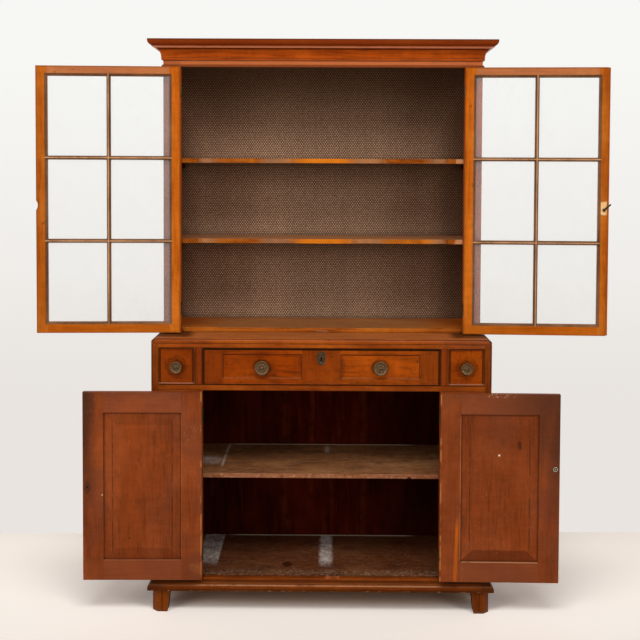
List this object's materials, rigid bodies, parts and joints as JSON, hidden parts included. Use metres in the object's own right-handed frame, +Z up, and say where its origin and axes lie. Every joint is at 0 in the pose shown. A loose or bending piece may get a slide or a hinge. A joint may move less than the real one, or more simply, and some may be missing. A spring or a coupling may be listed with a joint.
{
  "type": "jackson press",
  "caption": "Press cupboard with a set-back glazed upper case, drawers over panelled lower doors, moulded cornice and base, and short canted feet; its doors stand open.",
  "frame": {"origin": "on the floor under the middle of the whole object, open doors included", "axes": "+X to the right of someone facing the press, +Y from its front to its back, +Z up"},
  "size_m": [2.0275, 0.5086, 2.007],
  "materials": {
    "case_wood": "old varnished cherry or walnut, worn",
    "drawer_wood": "figured veneer under old varnish",
    "door_wood": "inner faces oiled, reddish",
    "sash_wood": "orange varnish on the inner faces",
    "bar_wood": "brown glazing bars",
    "inner_wood": "unpolished, darkened with age",
    "raw_wood": "bare secondary wood",
    "lining_cloth": "small lattice pattern, faded",
    "brass": "dull, tarnished",
    "iron": "dark, slightly rusty",
    "pane_glass": "clear, slightly uneven",
    "putty": "brown painted putty"
  },
  "bodies": {
    "case": {"lower_sides": "case_wood", "lower_floor": "inner_wood", "lower_back_boards": "inner_wood", "corner_stiles": "case_wood", "door_stiles": "case_wood", "front_rails": "case_wood", "drawer_dividers": "case_wood", "drawer_partitions": "inner_wood", "drawer_runners": "inner_wood", "drawer_kickers": "inner_wood", "lower_shelf": "inner_wood", "shelf_cleats": "inner_wood", "lower_top": "case_wood", "base_moulding": "case_wood", "feet": "case_wood", "upper_sides": "case_wood", "upper_floor_board": "inner_wood", "upper_top_board": "inner_wood", "upper_back_boards": "inner_wood", "back_lining": "lining_cloth", "upper_stiles": "case_wood", "frieze_rail": "case_wood", "neck_moulding": "case_wood", "cornice": "case_wood", "upper_shelf_1": "inner_wood", "upper_shelf_2": "inner_wood", "case_hinges": "iron"},
    "left_drawer": {"left_drawer_front": "drawer_wood", "left_drawer_box": "raw_wood", "left_drawer_knobs": "brass"},
    "middle_drawer": {"middle_drawer_front": "drawer_wood", "middle_drawer_box": "raw_wood", "middle_drawer_bottom": "raw_wood", "middle_drawer_knobs": "brass", "keyhole_plate": "brass", "drawer_lock": "iron"},
    "right_drawer": {"right_drawer_front": "drawer_wood", "right_drawer_box": "raw_wood", "right_drawer_knobs": "brass"},
    "lower_left_door": {"lower_left_door_frame": "door_wood", "lower_left_door_panel": "door_wood", "lower_left_door_leaves": "iron"},
    "lower_right_door": {"lower_right_door_frame": "door_wood", "lower_right_door_panel": "door_wood", "lower_right_door_leaves": "iron", "lower_right_door_knob": "brass"},
    "upper_left_door": {"upper_left_door_frame": "sash_wood", "upper_left_door_bars": "bar_wood", "upper_left_door_panes": "pane_glass", "upper_left_door_putty": "putty", "upper_left_door_leaves": "iron"},
    "upper_right_door": {"upper_right_door_frame": "sash_wood", "upper_right_door_bars": "bar_wood", "upper_right_door_panes": "pane_glass", "upper_right_door_putty": "putty", "upper_right_door_leaves": "iron"},
    "door_latch": {"upper_right_door_latch": "brass"}
  },
  "joints": [
    {"name": "left_drawer_slide", "type": "slide", "parent": "case", "child": "left_drawer", "axis": [0, -1, 0], "range_m": [0, 0.3]},
    {"name": "middle_drawer_slide", "type": "slide", "parent": "case", "child": "middle_drawer", "axis": [0, -1, 0], "range_m": [0, 0.3]},
    {"name": "right_drawer_slide", "type": "slide", "parent": "case", "child": "right_drawer", "axis": [0, -1, 0], "range_m": [0, 0.3]},
    {"name": "lower_left_hinge", "type": "hinge", "parent": "case", "child": "lower_left_door", "pos_m": [-0.41175, -0.21897, 0.4515], "axis": [0, 0, 1], "range_deg": [-1, 179]},
    {"name": "lower_right_hinge", "type": "hinge", "parent": "case", "child": "lower_right_door", "pos_m": [0.41175, -0.21897, 0.4515], "axis": [0, 0, 1], "range_deg": [-179, 1]},
    {"name": "upper_left_hinge", "type": "hinge", "parent": "case", "child": "upper_left_door", "pos_m": [-0.50425, -0.07497, 1.43775], "axis": [0, 0, 1], "range_deg": [-3, 177]},
    {"name": "upper_right_hinge", "type": "hinge", "parent": "case", "child": "upper_right_door", "pos_m": [0.50425, -0.07497, 1.43775], "axis": [0, 0, 1], "range_deg": [-177, 3]},
    {"name": "latch_turn", "type": "hinge", "parent": "upper_right_door", "child": "door_latch", "pos_m": [0.99151, -0.12584, 1.40987], "axis": [-0.0523, -0.9986, 0], "range_deg": [-41, 49]}
  ]
}
